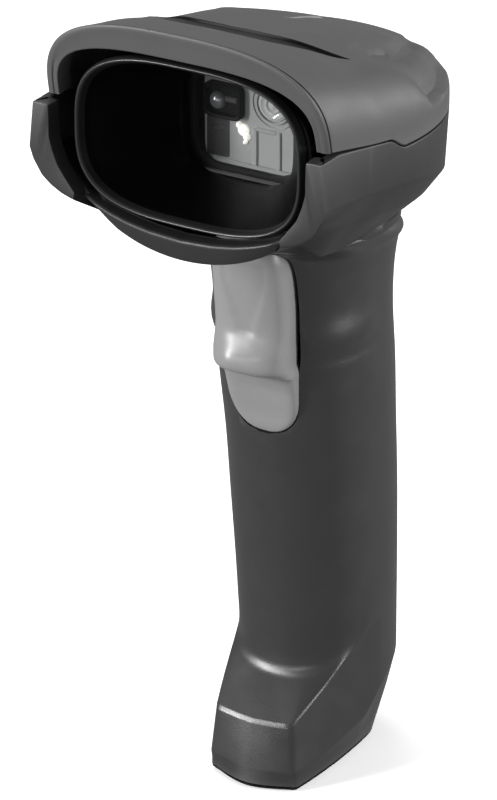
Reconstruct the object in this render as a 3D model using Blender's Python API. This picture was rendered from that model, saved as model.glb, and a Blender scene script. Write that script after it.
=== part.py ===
"""Handheld barcode scanner: hooded head, collar, scan engine, trigger handle and foot."""
from math import cos, hypot, pi, radians, sin

import bmesh
import bpy
from mathutils import Matrix, Vector

for old in list(bpy.data.objects):
    bpy.data.objects.remove(old)

# Driving dimensions, in millimetres. Z is up, the window looks along -Y, the foot stands on Z = 0.
MM = 0.001
HEIGHT = 175.0
HALF_WIDTH = 33.0
FRONT_Y = -40.0
REAR_Y = 40.0
GAP = 0.3                   # clearance between pieces that touch
WALL = 2.2                  # shell thickness
REAR_STEPS, FRONT_STEPS = 12, 16    # points along half an outline, behind and in front of its widest place

# Head
WAIST_Y = -8.0              # behind this line the head is rounded in plan
LIP_FOOT_Y, LIP_FOOT_Z = -36.0, 156.0
LIP_BACK = 0.6              # thickness left behind the top of the lip
ROOF_SLOPE = 0.25
DOME_POWER = 2.8
SEAM_Z, SEAM_SLOPE = 156.0, 0.2
NOTCH_Y, NOTCH_RUN, NOTCH_DROP = -15.5, 6.9, 2.6
WING_TOP_Z = 155.2
MOUTH_Z = 150.0             # height of the middle of the opening
MOUTH_HALF = (27.8, 17.7)
CREASE_Z, CHIN_Z = 145.4, 127.5

# Crescent badge: half length, edges on the middle line, and how far each edge sweeps back to the tips
BADGE_HALF, BADGE_STEPS = 21.0, 18
BADGE_FRONT_Y, BADGE_FRONT_SWEEP = -25.3, 15.0
BADGE_REAR_Y, BADGE_REAR_SWEEP = -18.6, 8.8

# Status light bar: its rings along Y, half width and depth
PIPE_Y, PIPE_HALF, PIPE_DEPTH = (3.0, 6.0, 9.0, 12.0, 15.0), 1.0, 3.0

# Light tunnel: distance along Y, half width and half height of each ring of its profile
RIM_POWER = 3.0
TUNNEL_PROFILE = ((-33.6, 26.5, 16.3), (-31.5, 26.5, 16.3), (-31.5, 25.0, 15.4), (-17.0, 14.4, 13.8),
                  (-14.6, 14.4, 13.8), (-14.6, 12.6, 12.2), (-17.0, 12.6, 12.2), (-33.8, 23.4, 14.5),
                  (-35.8, 24.0, 15.1), (-36.2, 24.6, 15.7), (-35.6, 25.1, 16.0), (-33.6, 25.4, 16.3))

# Scan engine
PLATE_Y = -11.0
ENGINE_Z = 148.8
ENGINE_HALF = (10.9, 11.3)
IMAGER_XZ = (-6.0, 150.9)
AIMER_XZ = (3.9, 151.7)

# Handle: height, middle along Y, half width, half depth
HANDLE = ((116.0, 9.0, 17.6, 20.8), (109.0, 9.2, 16.9, 19.4), (100.0, 9.5, 16.6, 19.0), (88.0, 11.0, 16.5, 18.8),
          (74.0, 12.7, 16.0, 18.5), (59.0, 14.1, 15.7, 18.4), (45.0, 15.2, 15.3, 18.2), (35.0, 15.8, 15.1, 17.9))
HANDLE_FOOT = (16.1, 15.0, 17.7)
HANDLE_POWER = 2.35

# Foot: a toe with a sloping top in front of the handle
HIP_Y = 12.3                # where the toe's flat sides meet the handle
TOE_FRONT_Y, TOE_CORNER = -11.3, (9.0, -10.9)
TOE_SLOPE, TOE_EDGE_Z = 0.624, 15.3
SIDE_BOW, NOSE_BOW = 0.35, 0.5      # how far the toe's sides and its top front edge curve outward
FOOT_CREASE = ((-16.0, 3.4), (-10.0, 3.6), (2.0, 6.2), (11.5, 8.2), (15.0, 11.5), (20.0, 21.0), (26.0, 25.0))
FOOT_SPREAD, BASE_HEEL = 0.8, 6.2   # widening of the toe's corners low down, drawing in of the heel at the bottom
CAP_THICK = 2.0
SCREW_Y, CONTACT_X, CONTACT_Y = -4.0, 5.0, 17.0

# Trigger: height, front, half width and back of each ring of its shape
TRIGGER = ((125.6, -12.4, 7.2, -3.8), (122.0, -15.4, 7.8, -3.2), (118.0, -15.2, 8.7, -3.4), (110.0, -13.7, 8.7, -3.4),
           (104.0, -13.3, 8.7, -3.0), (99.6, -14.3, 8.7, -2.6), (96.6, -14.0, 8.5, -2.4), (94.4, -11.6, 8.2, -2.2),
           (92.6, -9.8, 7.9, -2.1), (86.0, -7.8, 7.65, -1.9), (83.4, -7.2, 7.2, -1.9), (81.4, -6.8, 6.2, -1.8),
           (80.0, -6.4, 4.9, -1.8), (79.1, -6.1, 3.4, -1.8), (78.6, -5.9, 1.8, -1.8))
PIVOT_Y, PIVOT_Z = -7.0, 122.0
PIN_RADIUS = 1.2
SWITCH_Z = 105.0
SPRING_Z = 93.5
BOARD_Y = 6.0

# Battery
CELL_RADIUS, CELL_LENGTH, CELL_Y, CELL_Z = 9.15, 65.0, 17.5, 21.0


def smooth(t):
    t = min(max(t, 0.0), 1.0)
    return t * t * (3.0 - 2.0 * t)


def table(rows, x):
    """Straight-line reading of a table of (x, value) pairs in rising x."""
    for (xa, va), (xb, vb) in zip(rows, rows[1:]):
        if x <= xb:
            return va + (vb - va) * max(0.0, (x - xa) / (xb - xa))
    return rows[-1][1]


# ---------------------------------------------------------------- mesh helpers

def material(name, colour, roughness, metallic=0.0, alpha=1.0):
    finish = bpy.data.materials.new(name)
    finish.use_nodes = True
    shader = finish.node_tree.nodes["Principled BSDF"]
    shader.inputs["Base Color"].default_value = (*colour, 1.0)
    shader.inputs["Roughness"].default_value = roughness
    shader.inputs["Metallic"].default_value = metallic
    shader.inputs["Alpha"].default_value = alpha
    finish.diffuse_color = (*colour, alpha)
    return finish


def add(name, mesh_bm, finish, origin=(0, 0, 0)):
    """Turn a bmesh in millimetres into a named object whose origin is the given point."""
    bmesh.ops.recalc_face_normals(mesh_bm, faces=mesh_bm.faces)
    bmesh.ops.translate(mesh_bm, verts=mesh_bm.verts, vec=-Vector(origin))
    bmesh.ops.scale(mesh_bm, verts=mesh_bm.verts, vec=(MM, MM, MM))
    mesh = bpy.data.meshes.new(name)
    mesh_bm.to_mesh(mesh)
    mesh_bm.free()
    mesh.shade_smooth()
    mesh.set_sharp_from_angle(angle=radians(35))
    piece = bpy.data.objects.new(name, mesh)
    piece.location = Vector(origin) * MM
    if finish:
        mesh.materials.append(finish)
    bpy.context.collection.objects.link(piece)
    return piece


def loft(rings, closed=False):
    """Skin rings of equal length; the ends are capped, or the last ring joins the first."""
    shape = bmesh.new()
    loops = [[shape.verts.new(point) for point in ring] for ring in rings]
    pairs = list(zip(loops, loops[1:] + loops[:1])) if closed else list(zip(loops, loops[1:]))
    for low, high in pairs:
        for i in range(len(low)):
            j = (i + 1) % len(low)
            shape.faces.new((low[i], low[j], high[j], high[i]))
    if not closed:
        shape.faces.new(loops[0])
        shape.faces.new(loops[-1])
    return shape


def box(size, centre):
    shape = bmesh.new()
    bmesh.ops.create_cube(shape, size=1.0)
    bmesh.ops.scale(shape, verts=shape.verts, vec=size)
    bmesh.ops.translate(shape, verts=shape.verts, vec=centre)
    return shape


def rounded_box(size, centre, radius=0.4):
    shape = box(size, centre)
    bmesh.ops.bevel(shape, geom=shape.edges, offset=radius, segments=1, affect="EDGES")
    return shape


AXIS_TURN = {"X": Matrix.Rotation(pi / 2, 3, "Y"), "Y": Matrix.Rotation(-pi / 2, 3, "X"), "Z": Matrix.Identity(3)}


def cylinder(radius, length, centre, axis="Z", sides=24, inner=None):
    """A round bar, or a tube when an inner radius is given, centred on a point."""
    def circle(r, height):
        return [Vector((r * cos(2 * pi * i / sides), r * sin(2 * pi * i / sides), height)) for i in range(sides)]
    half = length / 2
    if inner is None:
        rings = [circle(radius, -half), circle(radius, half)]
    else:
        rings = [circle(radius, -half), circle(radius, half), circle(inner, half), circle(inner, -half)]
    turn = AXIS_TURN[axis]
    rings = [[turn @ point + Vector(centre) for point in ring] for ring in rings]
    return loft(rings, closed=inner is not None)


def tool(name, shape):
    """A hidden cutting or joining body."""
    body = add(name, shape, None)
    body.hide_render = True
    body.display_type = "WIRE"
    return body


def combine(piece, body, operation="DIFFERENCE"):
    modifier = piece.modifiers.new(body.name, "BOOLEAN")
    modifier.operation = operation
    modifier.object = body
    return piece


def superellipse(half_a, half_b, power, count, turn=0.0):
    points = []
    for i in range(count):
        angle = 2 * pi * i / count + turn
        c, s = cos(angle), sin(angle)
        points.append((half_a * abs(c) ** (2 / power) * (1 if c >= 0 else -1),
                       half_b * abs(s) ** (2 / power) * (1 if s >= 0 else -1)))
    return points


# ---------------------------------------------------------------- head geometry

def seam_z(y):
    """Parting line between the top cover and the collar, with its step."""
    return SEAM_Z - SEAM_SLOPE * (y - LIP_FOOT_Y) + 0.09 * max(0.0, y - NOTCH_Y) \
        - NOTCH_DROP * smooth((y - NOTCH_Y) / NOTCH_RUN)


def dome_base_z(y):
    return SEAM_Z - SEAM_SLOPE * (y - LIP_FOOT_Y) + 0.055 * max(0.0, y - NOTCH_Y) + 0.9


def roof_z(x, y, inset=0.0):
    """Height of the head's roof, or of a skin lying inset below it."""
    width = HALF_WIDTH - 1.6 * smooth((-18.0 - y) / 20.0) - inset
    depth = REAR_Y - WAIST_Y - inset
    reach = min(hypot(x / width, max(0.0, y - WAIST_Y) / depth), 1.0)
    crest = HEIGHT - ROOF_SLOPE * (y - FRONT_Y) - inset
    base = dome_base_z(y)
    return base + (crest - base) * (1.0 - reach ** DOME_POWER) ** (1.0 / DOME_POWER)


def resample(curve, count):
    """Points evenly spaced along a polyline, from its first point up to but not including its last."""
    lengths = [0.0]
    for (ax, ay), (bx, by) in zip(curve, curve[1:]):
        lengths.append(lengths[-1] + hypot(bx - ax, by - ay))
    points, at = [], 0
    for i in range(count):
        goal = lengths[-1] * i / count
        while lengths[at + 1] < goal:
            at += 1
        t = (goal - lengths[at]) / (lengths[at + 1] - lengths[at])
        points.append(tuple(a + (b - a) * t for a, b in zip(curve[at], curve[at + 1])))
    return points


def ring_of(rear_curve, front_curve):
    """Closed outline from its right-hand rear and front parts, mirrored to the left."""
    half = resample(rear_curve, REAR_STEPS) + resample(front_curve, FRONT_STEPS) + [front_curve[-1]]
    return half + [(-x, y) for x, y in reversed(half[1:-1])]


def plan(half_width, front, rear, waist=WAIST_Y, front_power=7.0, rear_power=2.0, split=None):
    """Outline in plan with its own curvature in front of the waist and behind it."""
    fine = 360
    curve = []
    for i in range(fine + 1):
        angle = pi / 2 - pi * i / fine
        c, s = max(cos(angle), 0.0), sin(angle)
        depth, power = (rear - waist, rear_power) if s > 0 else (waist - front, front_power)
        sign = 1 if s > 0 else -1
        curve.append((half_width * c ** (2 / power), waist + sign * depth * abs(s) ** (2 / power)))
    split = waist if split is None else split
    cut = next(i for i, point in enumerate(curve) if point[1] <= split)
    return ring_of(curve[:cut + 1], curve[cut:])


def crease_z(x, y):
    """Edge between the collar's upright side and its lower facet; it dips under the opening."""
    back = y - FRONT_Y
    side = CREASE_Z - 0.10 * back - 0.0019 * back * back
    dip = 13.5 * (1.0 - min(abs(x) / HALF_WIDTH, 1.0) ** 6) * smooth((-28.0 - y) / 9.0)
    return side - dip


def chin_z(x, y):
    """Lower edge of the collar's facet."""
    return CHIN_Z - 0.12 * (y + 36.3) + 0.004 * x * x


def dome_rings(inset, steps):
    """Rings of the cover's skin, from its lower edge to the top."""
    rim = plan(HALF_WIDTH - inset, FRONT_Y + inset, REAR_Y - inset)
    rings = [[Vector((x, y, seam_z(y))) for x, y in rim]]
    rim = plan(HALF_WIDTH - inset, FRONT_Y + min(inset, LIP_BACK), REAR_Y - inset)
    for step in steps:
        ring = []
        for x, y in rim:
            px, py = x * step, WAIST_Y + (y - WAIST_Y) * step
            height = roof_z(px, py, inset)
            lip = 2.4 * smooth((-33.0 - py) / 2.5) * smooth((height - LIP_FOOT_Z) / 8.0) if inset else 0.0
            ring.append(Vector((px, py, height - lip)))
        rings.append(ring)
    return rings


def make_top_cover(finish):
    steps = (1.0, 0.985, 0.955, 0.91, 0.85, 0.76, 0.63, 0.48, 0.32, 0.16)
    outer = dome_rings(0.0, steps)
    inner = dome_rings(WALL, steps)
    cover = add("top_cover", loft(outer[::-1] + inner), finish)
    lean = (LIP_FOOT_Y - FRONT_Y) / (HEIGHT - LIP_FOOT_Z)
    reach = 60.0
    face = [Vector((-reach, 0, 0)), Vector((reach, 0, 0)), Vector((reach, -reach, 0)), Vector((-reach, -reach, 0))]
    rings = []
    for z in (LIP_FOOT_Z - 30.0, HEIGHT + 10.0):
        shift = Vector((0, LIP_FOOT_Y - (z - LIP_FOOT_Z) * lean, z))
        rings.append([point + shift for point in face])
    combine(cover, tool("lip_cutter", loft(rings)))
    combine(cover, tool("badge_recess", badge_shape(GAP, -1.1, 3.0)))
    pipe_middle, pipe_length = (PIPE_Y[0] + PIPE_Y[-1]) / 2, PIPE_Y[-1] - PIPE_Y[0]
    slot = box((2 * PIPE_HALF + 2 * GAP, pipe_length + 2 * GAP, 20.0), (0, pipe_middle, 158.0))
    combine(cover, tool("light_slot", slot))
    return cover


def badge_shape(grow, low, high):
    """Crescent between two arcs, following the roof at the given heights above it."""
    half = BADGE_HALF + grow
    rings = []
    for i in range(BADGE_STEPS + 1):
        x = half * sin(pi / 2 * (2 * i / BADGE_STEPS - 1))
        reach = min(abs(x) / (BADGE_HALF + 0.2), 1.0)
        front = BADGE_FRONT_Y + BADGE_FRONT_SWEEP * reach ** 4.5 - grow
        rear = max(BADGE_REAR_Y + BADGE_REAR_SWEEP * reach ** 3.2 + grow, front + 0.4)
        ring = [Vector((x, y, roof_z(x, y) + low)) for y in (front, (front + rear) / 2, rear)]
        ring += [Vector((x, y, roof_z(x, y) + high)) for y in (rear, (front + rear) / 2, front)]
        rings.append(ring)
    return loft(rings)


def make_light_pipe(finish):
    rings = []
    for y in PIPE_Y:
        top, low = roof_z(0, y), roof_z(0, y) - PIPE_DEPTH
        rings.append([Vector((x, y, z)) for x, z in ((-PIPE_HALF, low), (PIPE_HALF, low), (PIPE_HALF, top),
                                                     (-PIPE_HALF, top))])
    return add("status_light_pipe", loft(rings), finish)


def collar_rings(inset):
    """Rings of one skin of the collar: seam, crease, facet, chin and its underside."""
    def ring(half_width, front, rear, height, waist=WAIST_Y, power=7.0):
        outline = plan(half_width - inset, front + inset, rear - inset, waist, power)
        return [Vector((x, y, height(x, y))) for x, y in outline]
    lift = 0.5 * inset
    seam = ring(HALF_WIDTH, FRONT_Y, REAR_Y, lambda x, y: min(seam_z(y) - GAP, WING_TOP_Z))
    crease = ring(HALF_WIDTH, FRONT_Y + 0.4, 37.6, lambda x, y: crease_z(x, y) + lift)
    facet = ring(29.4, FRONT_Y + 1.9, 34.2, lambda x, y: (crease_z(x, y) + chin_z(x, y)) / 2 + lift, -10.0, 5.0)
    chin = ring(24.6, -36.3, 31.5, lambda x, y: chin_z(x, y) + 1.4 * lift, -12.0, 3.6)
    under = ring(22.8, -21.0, 30.4, lambda x, y: chin_z(x, y) - 1.0 + 1.4 * lift, -2.0, 3.0)
    return [seam, crease, facet, chin, under]


def make_collar(finish):
    collar = add("collar_housing", loft(collar_rings(0.0) + collar_rings(WALL)[::-1], closed=True), finish)
    outline = superellipse(*MOUTH_HALF, RIM_POWER, 56)
    rings = [[Vector((x, y, MOUTH_Z + z + (20.0 if z > 0 else 0.0))) for x, z in outline] for y in (-60.0, -30.0)]
    combine(collar, tool("mouth_cutter", loft(rings)))
    for side in (-1, 1):
        post = cylinder(2.6, 14.0, (side * 15.5, 20.0, 133.0), sides=16, inner=1.1)
        combine(collar, tool("board_post_tool", post), "UNION")
    return collar


def make_bezel(finish):
    rings = []
    for y, half_x, half_z in TUNNEL_PROFILE:
        power = RIM_POWER if y < -20 else 4.0
        outline = superellipse(half_x, half_z, power, 44)
        drop = 1.2 * smooth((y + 32.0) / 14.0)
        rings.append([Vector((x, y, MOUTH_Z - drop + z)) for x, z in outline])
    return add("nose_bezel", loft(rings, closed=True), finish)


def frame_rings(half_x, half_z, rim, y_low, y_high, power=4.0, count=32):
    outer, inner = (superellipse(half_x - d, half_z - d, power, count) for d in (0.0, rim))
    return [[Vector((x, y, ENGINE_Z + z)) for x, z in outline]
            for outline, y in ((outer, y_low), (outer, y_high), (inner, y_high), (inner, y_low))]


def make_window(glass, foam):
    outline = superellipse(14.2, 13.6, 4.0, 32)
    rings = [[Vector((x, y, ENGINE_Z + z)) for x, z in outline] for y in (-14.3, -13.1)]
    add("exit_window", loft(rings), glass)
    add("window_gasket", loft(frame_rings(14.2, 13.6, 2.2, -12.8, -11.6), closed=True), foam)


# ---------------------------------------------------------------- scan engine and boards

def make_engine(finishes):
    half_x, half_z = ENGINE_HALF
    plate = add("illumination_plate", rounded_box((2 * half_x, 1.4, 2 * half_z), (0, PLATE_Y + 0.7, ENGINE_Z), 0.3),
                finishes["guide"])
    combine(plate, tool("imager_window", box((8.6, 6.0, 7.4), (IMAGER_XZ[0], PLATE_Y, IMAGER_XZ[1]))))
    combine(plate, tool("aimer_window", cylinder(4.1, 6.0, (AIMER_XZ[0], PLATE_Y, AIMER_XZ[1]), "Y")))
    chassis_y = PLATE_Y + 1.7
    chassis = add("engine_chassis", rounded_box((23.0, 11.0, 23.4), (0, chassis_y + 5.5, ENGINE_Z), 0.5),
                  finishes["black"])
    combine(chassis, tool("imager_bore", cylinder(3.2, 30.0, (IMAGER_XZ[0], 0, IMAGER_XZ[1]), "Y")))
    combine(chassis, tool("aimer_pocket", cylinder(3.4, 8.0, (AIMER_XZ[0], chassis_y, AIMER_XZ[1]), "Y")))
    for side in (-1, 1):
        centre = (side * 5.4, chassis_y, ENGINE_Z - 7.0)
        combine(chassis, tool("led_pocket", box((4.2, 3.2, 4.2), centre)))
        name = "illumination_led_left" if side < 0 else "illumination_led_right"
        add(name, rounded_box((3.5, 1.2, 3.5), (side * 5.4, chassis_y + 0.7, ENGINE_Z - 7.0), 0.2), finishes["led"])
    add("imager_lens", cylinder(2.9, 11.6, (IMAGER_XZ[0], PLATE_Y + 6.4, IMAGER_XZ[1]), "Y"), finishes["lens"])
    add("aimer_lens", cylinder(3.1, 5.0, (AIMER_XZ[0], PLATE_Y + 2.9, AIMER_XZ[1]), "Y"), finishes["glass"])
    board_y = chassis_y + 11.0 + GAP
    add("imager_board", box((22.0, 1.2, 22.0), (0, board_y + 0.6, ENGINE_Z)), finishes["board"])
    make_flex(board_y + 1.2 + GAP, finishes["flex"])


def make_flex(start_y, finish):
    """Flat ribbon that hangs from the imager board and turns back to the main board."""
    radius, thick = 3.0, 0.3
    middle = [(start_y, 152.0 - 1.6 * i) for i in range(5)]
    drop = middle[-1][1]
    for i in range(1, 9):
        angle = pi / 2 * i / 8
        middle.append((start_y + radius * (1 - cos(angle)), drop - radius * sin(angle)))
    middle.append((start_y + radius + 5.0, drop - radius))
    rings = []
    for i, (y, z) in enumerate(middle):
        before, after = middle[max(i - 1, 0)], middle[min(i + 1, len(middle) - 1)]
        dy, dz = after[0] - before[0], after[1] - before[1]
        size = hypot(dy, dz)
        ny, nz = -dz / size * thick / 2, dy / size * thick / 2
        rings.append([Vector((-5, y + ny, z + nz)), Vector((5, y + ny, z + nz)),
                      Vector((5, y - ny, z - nz)), Vector((-5, y - ny, z - nz))])
    add("engine_flex", loft(rings), finish)


def make_main_board(finishes):
    board_z = 140.4
    board = add("main_board", box((36.0, 19.0, 1.2), (0, 15.5, board_z + 0.6)), finishes["board"])
    top = board_z + 1.2 + GAP
    for side, name in ((-1, "board_screw_left"), (1, "board_screw_right")):
        x = side * 15.5
        combine(board, tool("screw_clearance", cylinder(1.3, 6.0, (x, 20.0, board_z), sides=16)))
        screw = add(name, cylinder(2.2, 1.4, (x, 20.0, top + 0.7), sides=16), finishes["steel"])
        combine(screw, tool("screw_shank", cylinder(0.8, 8.0, (x, 20.0, top - 3.0), sides=12)), "UNION")
        combine(screw, tool("screw_socket", cylinder(0.9, 1.6, (x, 20.0, top + 1.4), sides=6)))
    add("shield_can", rounded_box((12.0, 11.0, 2.4), (6.0, 18.2, top + 1.2), 0.3), finishes["tin"])
    beeper = add("beeper", cylinder(5.0, 4.6, (-8.3, 17.6, top + 2.3)), finishes["black"])
    combine(beeper, tool("beeper_hole", cylinder(1.0, 2.0, (-8.3, 17.6, top + 4.6), sides=12)))


# ---------------------------------------------------------------- handle and foot

def foot_plan(grow=0.0, heel=0.0, spread=0.0, bow=NOSE_BOW):
    """Plan of the foot: bowed front and flat sides, then the handle's round back, drawn in by heel."""
    middle, half_width, half_depth = HANDLE_FOOT
    half_width += grow
    rear_depth = half_depth + grow - heel
    rear, power = [], HANDLE_POWER
    for i in range(121):
        angle = pi / 2 - pi * i / 240
        rear.append((half_width * cos(angle) ** (2 / power), middle + rear_depth * sin(angle) ** (2 / power)))
    corner = Vector((TOE_CORNER[0] + grow + spread, TOE_CORNER[1] - grow - 0.4 * spread))
    hip, front = Vector(rear[-1]), Vector((0.0, TOE_FRONT_Y - grow - 0.4 * spread))
    before, after = corner.lerp(hip, 0.05), corner.lerp(front, 0.14)
    bend = [before.lerp(corner, t).lerp(corner.lerp(after, t), t) for t in (0.0, 0.25, 0.5, 0.75, 1.0)]
    side = [before.lerp(hip, 1 - i / 16) + Vector((4 * SIDE_BOW * (i / 16) * (1 - i / 16), 0)) for i in range(16)]
    nose = [after.lerp(front, i / 10) - Vector((0, bow * sin(pi / 2 * i / 10))) for i in range(1, 11)]
    return ring_of(rear, [tuple(point) for point in (*side, *bend, *nose)])


def handle_rings(inset):
    """Rings down the handle, over the crescent where it meets the toe, and down to the foot."""
    rings = []
    top = plan(22.6 - inset, -20.8 + inset, 30.2 - inset, -2.0, 3.0, HANDLE_POWER)
    rings.append([Vector((x, y, chin_z(x, y) - 1.0 - GAP)) for x, y in top])
    neck = plan(19.2 - inset, -14.0 + inset, 29.9 - inset, 7.0, HANDLE_POWER, HANDLE_POWER)
    rings.append([Vector((x, y, 119.0 - 0.10 * (y - 8.0))) for x, y in neck])
    for z, *shape in HANDLE:
        tilt = 0.06 if z == HANDLE[0][0] else 0.0
        rings.append([Vector((x, y, z - tilt * (y - 8.0))) for x, y in handle_plan(shape, inset)])
    thick = 0.8 * inset

    def slope_z(y, lift):
        return TOE_EDGE_Z + TOE_SLOPE * (min(y, HIP_Y) - TOE_CORNER[1]) + lift
    crescent = handle_plan(HANDLE_FOOT, inset)
    rings.append([Vector((x, y, slope_z(y, 1.6 - thick))) for x, y in crescent])
    rings.append([Vector((x, y, slope_z(y, -thick))) for x, y in foot_plan(-inset)])
    crease = foot_plan(0.1 - inset, 0.2, 1.0, 1.4)
    rings.append([Vector((x, y, table(FOOT_CREASE, y))) for x, y in crease])
    under = foot_plan(-0.4 - inset, 2.2, 0.9, 1.8)
    rings.append([Vector((x, y, (table(FOOT_CREASE, y) + CAP_THICK + GAP) / 2)) for x, y in under])
    rings.append([Vector((x, y, CAP_THICK + GAP)) for x, y in foot_plan(-1.1 - inset, BASE_HEEL, FOOT_SPREAD, 2.4)])
    return rings


def handle_plan(shape, inset):
    middle, half_width, half_depth = shape
    return plan(half_width - inset, middle - half_depth + inset, middle + half_depth - inset,
                middle, HANDLE_POWER, HANDLE_POWER, middle - 0.01)


def trigger_rings(grow, front=None, back=None, power=4.0, count=24):
    rings = []
    for z, near, half_width, far in TRIGGER:
        near = near if front is None else front
        far = far if back is None else back
        outline = superellipse(half_width + grow, (far - near) / 2, power, count)
        rings.append([Vector((x, (near + far) / 2 + y, z)) for x, y in outline])
    low, high = TRIGGER[-1], TRIGGER[0]
    if grow:
        for point in rings[-1]:
            point.z = low[0] - grow
        for point in rings[0]:
            point.z = high[0] + 4.0
    return rings


def make_handle(finish):
    shell = add("handle_shell", loft(handle_rings(0.0)), finish)
    hollow = handle_rings(WALL)
    hollow[0] = [point + Vector((0, 0, 8.0)) for point in hollow[0]]
    hollow[-1] = [point - Vector((0, 0, 3.0)) for point in hollow[-1]]
    combine(shell, tool("handle_hollow", loft(hollow)))
    combine(shell, tool("trigger_slot", loft(trigger_rings(0.35, -50.0, -1.0, 12.0))))
    for side in (-1, 1):
        cheek = tool("pivot_cheek", box((2.4, 6.4, 6.6), (side * 10.5, -6.2, 121.4)))
        combine(cheek, tool("pivot_bore", cylinder(PIN_RADIUS + GAP, 6.0, (side * 10.5, PIVOT_Y, PIVOT_Z), "X", 16)))
        combine(shell, cheek, "UNION")
    return shell


def make_base(finishes):
    rings = []
    for z, grow, heel in ((0.0, -2.9, 8.6), (0.8, -1.6, 7.2), (CAP_THICK, -1.3, 6.5)):
        rings.append([Vector((x, y, z)) for x, y in foot_plan(grow, heel, FOOT_SPREAD, 2.4)])
    cap = add("base_cap", loft(rings), finishes["dark"])
    combine(cap, tool("screw_sink", cylinder(2.9, 2.6, (0, SCREW_Y, 0.0))))
    combine(cap, tool("screw_pass", cylinder(1.5, 10.0, (0, SCREW_Y, 2.0), sides=16)))
    screw = add("base_screw", cylinder(2.5, 0.9, (0, SCREW_Y, 0.75)), finishes["steel"])
    combine(screw, tool("base_shank", cylinder(1.1, 8.0, (0, SCREW_Y, 5.0), sides=16)), "UNION")
    combine(screw, tool("base_socket", cylinder(1.2, 1.0, (0, SCREW_Y, 0.4), sides=6)))
    for side, name in ((-1, "charge_contact_left"), (1, "charge_contact_right")):
        x = side * CONTACT_X
        combine(cap, tool("contact_pass", cylinder(1.8, 10.0, (x, CONTACT_Y, 2.0), sides=16)))
        add(name, cylinder(1.5, 6.8, (x, CONTACT_Y, 3.6), sides=16), finishes["gold"])
    add("contact_board", box((16.0, 8.0, 1.2), (0, CONTACT_Y - 0.5, 7.9)), finishes["board"])
    add("battery_cell", cylinder(CELL_RADIUS, CELL_LENGTH, (0, CELL_Y, CELL_Z + CELL_LENGTH / 2), sides=32),
        finishes["cell"])
    contact_z = CELL_Z + CELL_LENGTH + GAP
    add("battery_contact", rounded_box((9.0, 9.0, 1.6), (0, CELL_Y, contact_z + 0.8), 0.3), finishes["gold"])


# ---------------------------------------------------------------- trigger and switch

def make_trigger(finish):
    trigger = add("trigger", loft(trigger_rings(0.0)), finish, (0, PIVOT_Y, PIVOT_Z))
    bore = cylinder(PIN_RADIUS + GAP, 30.0, (0, PIVOT_Y, PIVOT_Z), "X", 16)
    combine(trigger, tool("trigger_bore", bore))
    return trigger


def make_spring(finish):
    """Compression spring between the trigger and its board."""
    start, end, radius, turns, wire = -1.3, BOARD_Y - GAP - 0.35, 2.2, 4, 0.3
    sides, steps = 6, turns * 14
    rings = []
    for i in range(steps + 1):
        angle = 2 * pi * turns * i / steps
        out = Vector((cos(angle), 0, sin(angle)))
        centre = Vector((0, start + (end - start) * i / steps, SPRING_Z)) + out * radius
        rings.append([centre + wire * (out * cos(2 * pi * j / sides) + Vector((0, 1, 0)) * sin(2 * pi * j / sides))
                      for j in range(sides)])
    return add("trigger_spring", loft(rings), finish)


def make_switch(finishes):
    add("trigger_pin", cylinder(PIN_RADIUS, 23.0, (0, PIVOT_Y, PIVOT_Z), "X", 16), finishes["steel"])
    add("trigger_board", box((15.0, 1.2, 26.0), (0, BOARD_Y + 0.6, 101.0)), finishes["board"])
    body = add("trigger_switch", rounded_box((6.0, 3.4, 6.0), (0, BOARD_Y - GAP - 1.7, SWITCH_Z), 0.3),
               finishes["black"])
    combine(body, tool("plunger_pocket", cylinder(1.5, 5.2, (0, BOARD_Y - 3.7, SWITCH_Z), "Y", 16)))
    back = -3.0 + GAP
    front_end = BOARD_Y - 2.6
    middle = (back + front_end) / 2
    plunger = cylinder(1.2, front_end - back, (0, middle, SWITCH_Z), "Y", 16)
    add("switch_plunger", plunger, finishes["white"], (0, middle, SWITCH_Z))


def main():
    finishes = {
        "cover": material("cover", (0.105, 0.105, 0.107), 0.55),
        "collar": material("collar", (0.060, 0.060, 0.061), 0.55),
        "handle": material("handle", (0.055, 0.055, 0.056), 0.70),
        "dark": material("dark", (0.045, 0.045, 0.046), 0.65),
        "gloss": material("gloss", (0.006, 0.006, 0.006), 0.12),
        "trigger": material("trigger", (0.33, 0.33, 0.33), 0.42),
        "glass": material("glass", (0.85, 0.87, 0.88), 0.04, alpha=0.3),
        "foam": material("foam", (0.02, 0.02, 0.02), 0.95),
        "guide": material("guide", (0.55, 0.56, 0.57), 0.20),
        "black": material("black", (0.012, 0.012, 0.012), 0.40),
        "led": material("led", (0.80, 0.78, 0.60), 0.30),
        "lens": material("lens", (0.10, 0.10, 0.12), 0.10),
        "board": material("board", (0.02, 0.12, 0.05), 0.45),
        "flex": material("flex", (0.45, 0.25, 0.06), 0.40),
        "tin": material("tin", (0.60, 0.60, 0.60), 0.35, 1.0),
        "steel": material("steel", (0.50, 0.50, 0.51), 0.30, 1.0),
        "gold": material("gold", (0.80, 0.60, 0.25), 0.25, 1.0),
        "cell": material("cell", (0.10, 0.22, 0.40), 0.35),
        "white": material("white", (0.75, 0.75, 0.74), 0.40),
    }
    make_top_cover(finishes["cover"])
    add("badge_insert", badge_shape(0.0, -0.8, 0.0), finishes["gloss"])
    make_light_pipe(finishes["glass"])
    make_collar(finishes["collar"])
    make_bezel(finishes["gloss"])
    make_window(finishes["glass"], finishes["foam"])
    make_engine(finishes)
    make_main_board(finishes)
    make_handle(finishes["handle"])
    make_base(finishes)
    make_trigger(finishes["trigger"])
    make_spring(finishes["steel"])
    make_switch(finishes)


main()
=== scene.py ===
"""Looks of a handheld barcode scanner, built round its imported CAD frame."""
from math import cos, hypot, pi, radians, sin

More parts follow.
